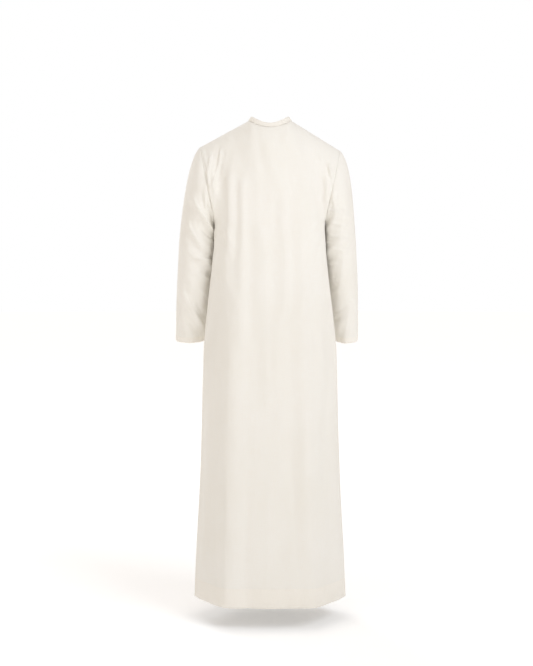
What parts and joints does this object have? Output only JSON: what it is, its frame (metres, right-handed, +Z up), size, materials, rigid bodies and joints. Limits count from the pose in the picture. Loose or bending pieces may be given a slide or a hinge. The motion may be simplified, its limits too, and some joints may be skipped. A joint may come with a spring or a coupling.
{
  "type": "thobe robe",
  "caption": "Long plain cream robe with straight set-in sleeves, a narrow neckband and a buttoned placket, held as worn.",
  "frame": {"origin": "where the wearer's shoulders carry the robe, midway between the two shoulder seams", "axes": "+Z up along the robe, towards the neck; the front faces -Y; the wearer's left is +X"},
  "size_m": [0.5914, 0.3341, 1.5245],
  "materials": {
    "cloth": "plain fine weave with a soft sheen",
    "button": "satin"
  },
  "bodies": {
    "root": {"back": "cloth", "front": "cloth", "sleeve_left": "cloth", "sleeve_right": "cloth", "neckband": "cloth", "placket_over": "cloth", "placket_under": "cloth", "button_1": "button", "button_2": "button", "button_3": "button", "button_4": "button"}
  },
  "joints": []
}
